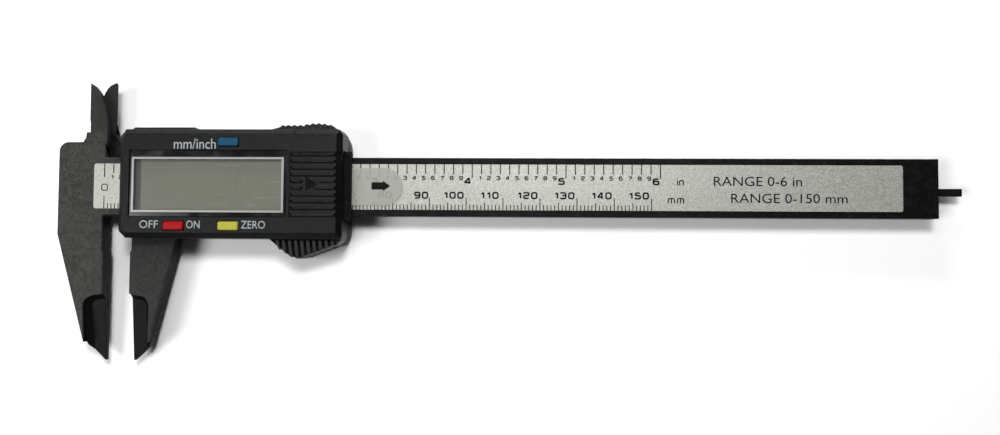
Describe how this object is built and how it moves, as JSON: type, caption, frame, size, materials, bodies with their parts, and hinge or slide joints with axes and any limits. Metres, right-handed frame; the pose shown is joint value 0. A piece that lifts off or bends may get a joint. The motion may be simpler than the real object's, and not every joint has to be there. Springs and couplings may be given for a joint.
{
  "type": "digital caliper",
  "caption": "Digital caliper with sliding head, inside and outside jaws, depth rod, display and push buttons on a flat scaled beam.",
  "frame": {"origin": "on the back face of the beam, in the plane of the fixed jaw's outside measuring face, at the beam's mid width", "axes": "+X along the beam towards the depth rod's tip, +Y towards the inside jaws, +Z out of the display"},
  "size_m": [0.2464, 0.0771, 0.0154],
  "materials": {
    "beam_plastic": "dark warm grey moulded plastic, fine grain",
    "jaw_plastic": "dark grey moulded plastic, fine grain",
    "head_plastic": "black moulded plastic, satin",
    "rod_plastic": "dark grey moulded plastic",
    "silver_label": "silver printed film, fine sparkle",
    "window_black": "dark gloss window",
    "frame_silver": "silver printed frame",
    "lcd_glass": "olive liquid-crystal glass, matt front",
    "holder_plastic": "black plastic",
    "circuit_board": "green solder mask",
    "epoxy": "black epoxy",
    "elastomer": "conductive rubber",
    "button_blue": "blue plastic",
    "button_red": "red plastic",
    "button_yellow": "yellow plastic",
    "steel": "bright steel",
    "brass": "spring brass",
    "film": "translucent plastic film"
  },
  "bodies": {
    "beam": {"beam": "beam_plastic", "scale_pcb": "circuit_board", "scale_label": "silver_label"},
    "head": {"carriage": "jaw_plastic", "gib_spring": "brass", "back_plate": "head_plastic", "case_screw_1": "steel", "case_screw_2": "steel", "case_screw_3": "steel", "case_screw_4": "steel", "depth_rod": "rod_plastic", "main_pcb": "circuit_board", "controller_chip": "epoxy", "display_connector": "elastomer", "pcb_screw_1": "steel", "pcb_screw_2": "steel", "contact_dome_mm_inch": "steel", "contact_dome_power": "steel", "contact_dome_zero": "steel", "lcd_glass": "lcd_glass", "display_holder": "holder_plastic", "battery_cell": "steel", "battery_contact_positive": "brass", "battery_contact_negative": "brass", "front_cover": "head_plastic", "display_window": "window_black", "display_frame": "frame_silver"},
    "mm_inch_button": {"button_mm_inch": "button_blue"},
    "power_button": {"button_power": "button_red"},
    "zero_button": {"button_zero": "button_yellow"},
    "door": {"battery_door": "head_plastic"},
    "pull_tab": {"battery_pull_tab": "film"}
  },
  "joints": [
    {"name": "head_slide", "type": "slide", "parent": "beam", "child": "head", "axis": [1, 0, 0], "range_m": [-0.00757, 0.1424]},
    {"name": "mm_inch_press", "type": "slide", "parent": "head", "child": "mm_inch_button", "axis": [0, 0, -1], "range_m": [0, 0.0004], "stiffness_N_per_m": 800, "springref_m": -0.0003},
    {"name": "power_press", "type": "slide", "parent": "head", "child": "power_button", "axis": [0, 0, -1], "range_m": [0, 0.0004], "stiffness_N_per_m": 800, "springref_m": -0.0003},
    {"name": "zero_press", "type": "slide", "parent": "head", "child": "zero_button", "axis": [0, 0, -1], "range_m": [0, 0.0004], "stiffness_N_per_m": 800, "springref_m": -0.0003},
    {"name": "door_slide", "type": "slide", "parent": "head", "child": "door", "axis": [1, 0, 0], "range_m": [0, 0.016]},
    {"name": "pull_tab_slide", "type": "slide", "parent": "head", "child": "pull_tab", "axis": [1, 0, 0], "range_m": [0, 0.012]}
  ]
}
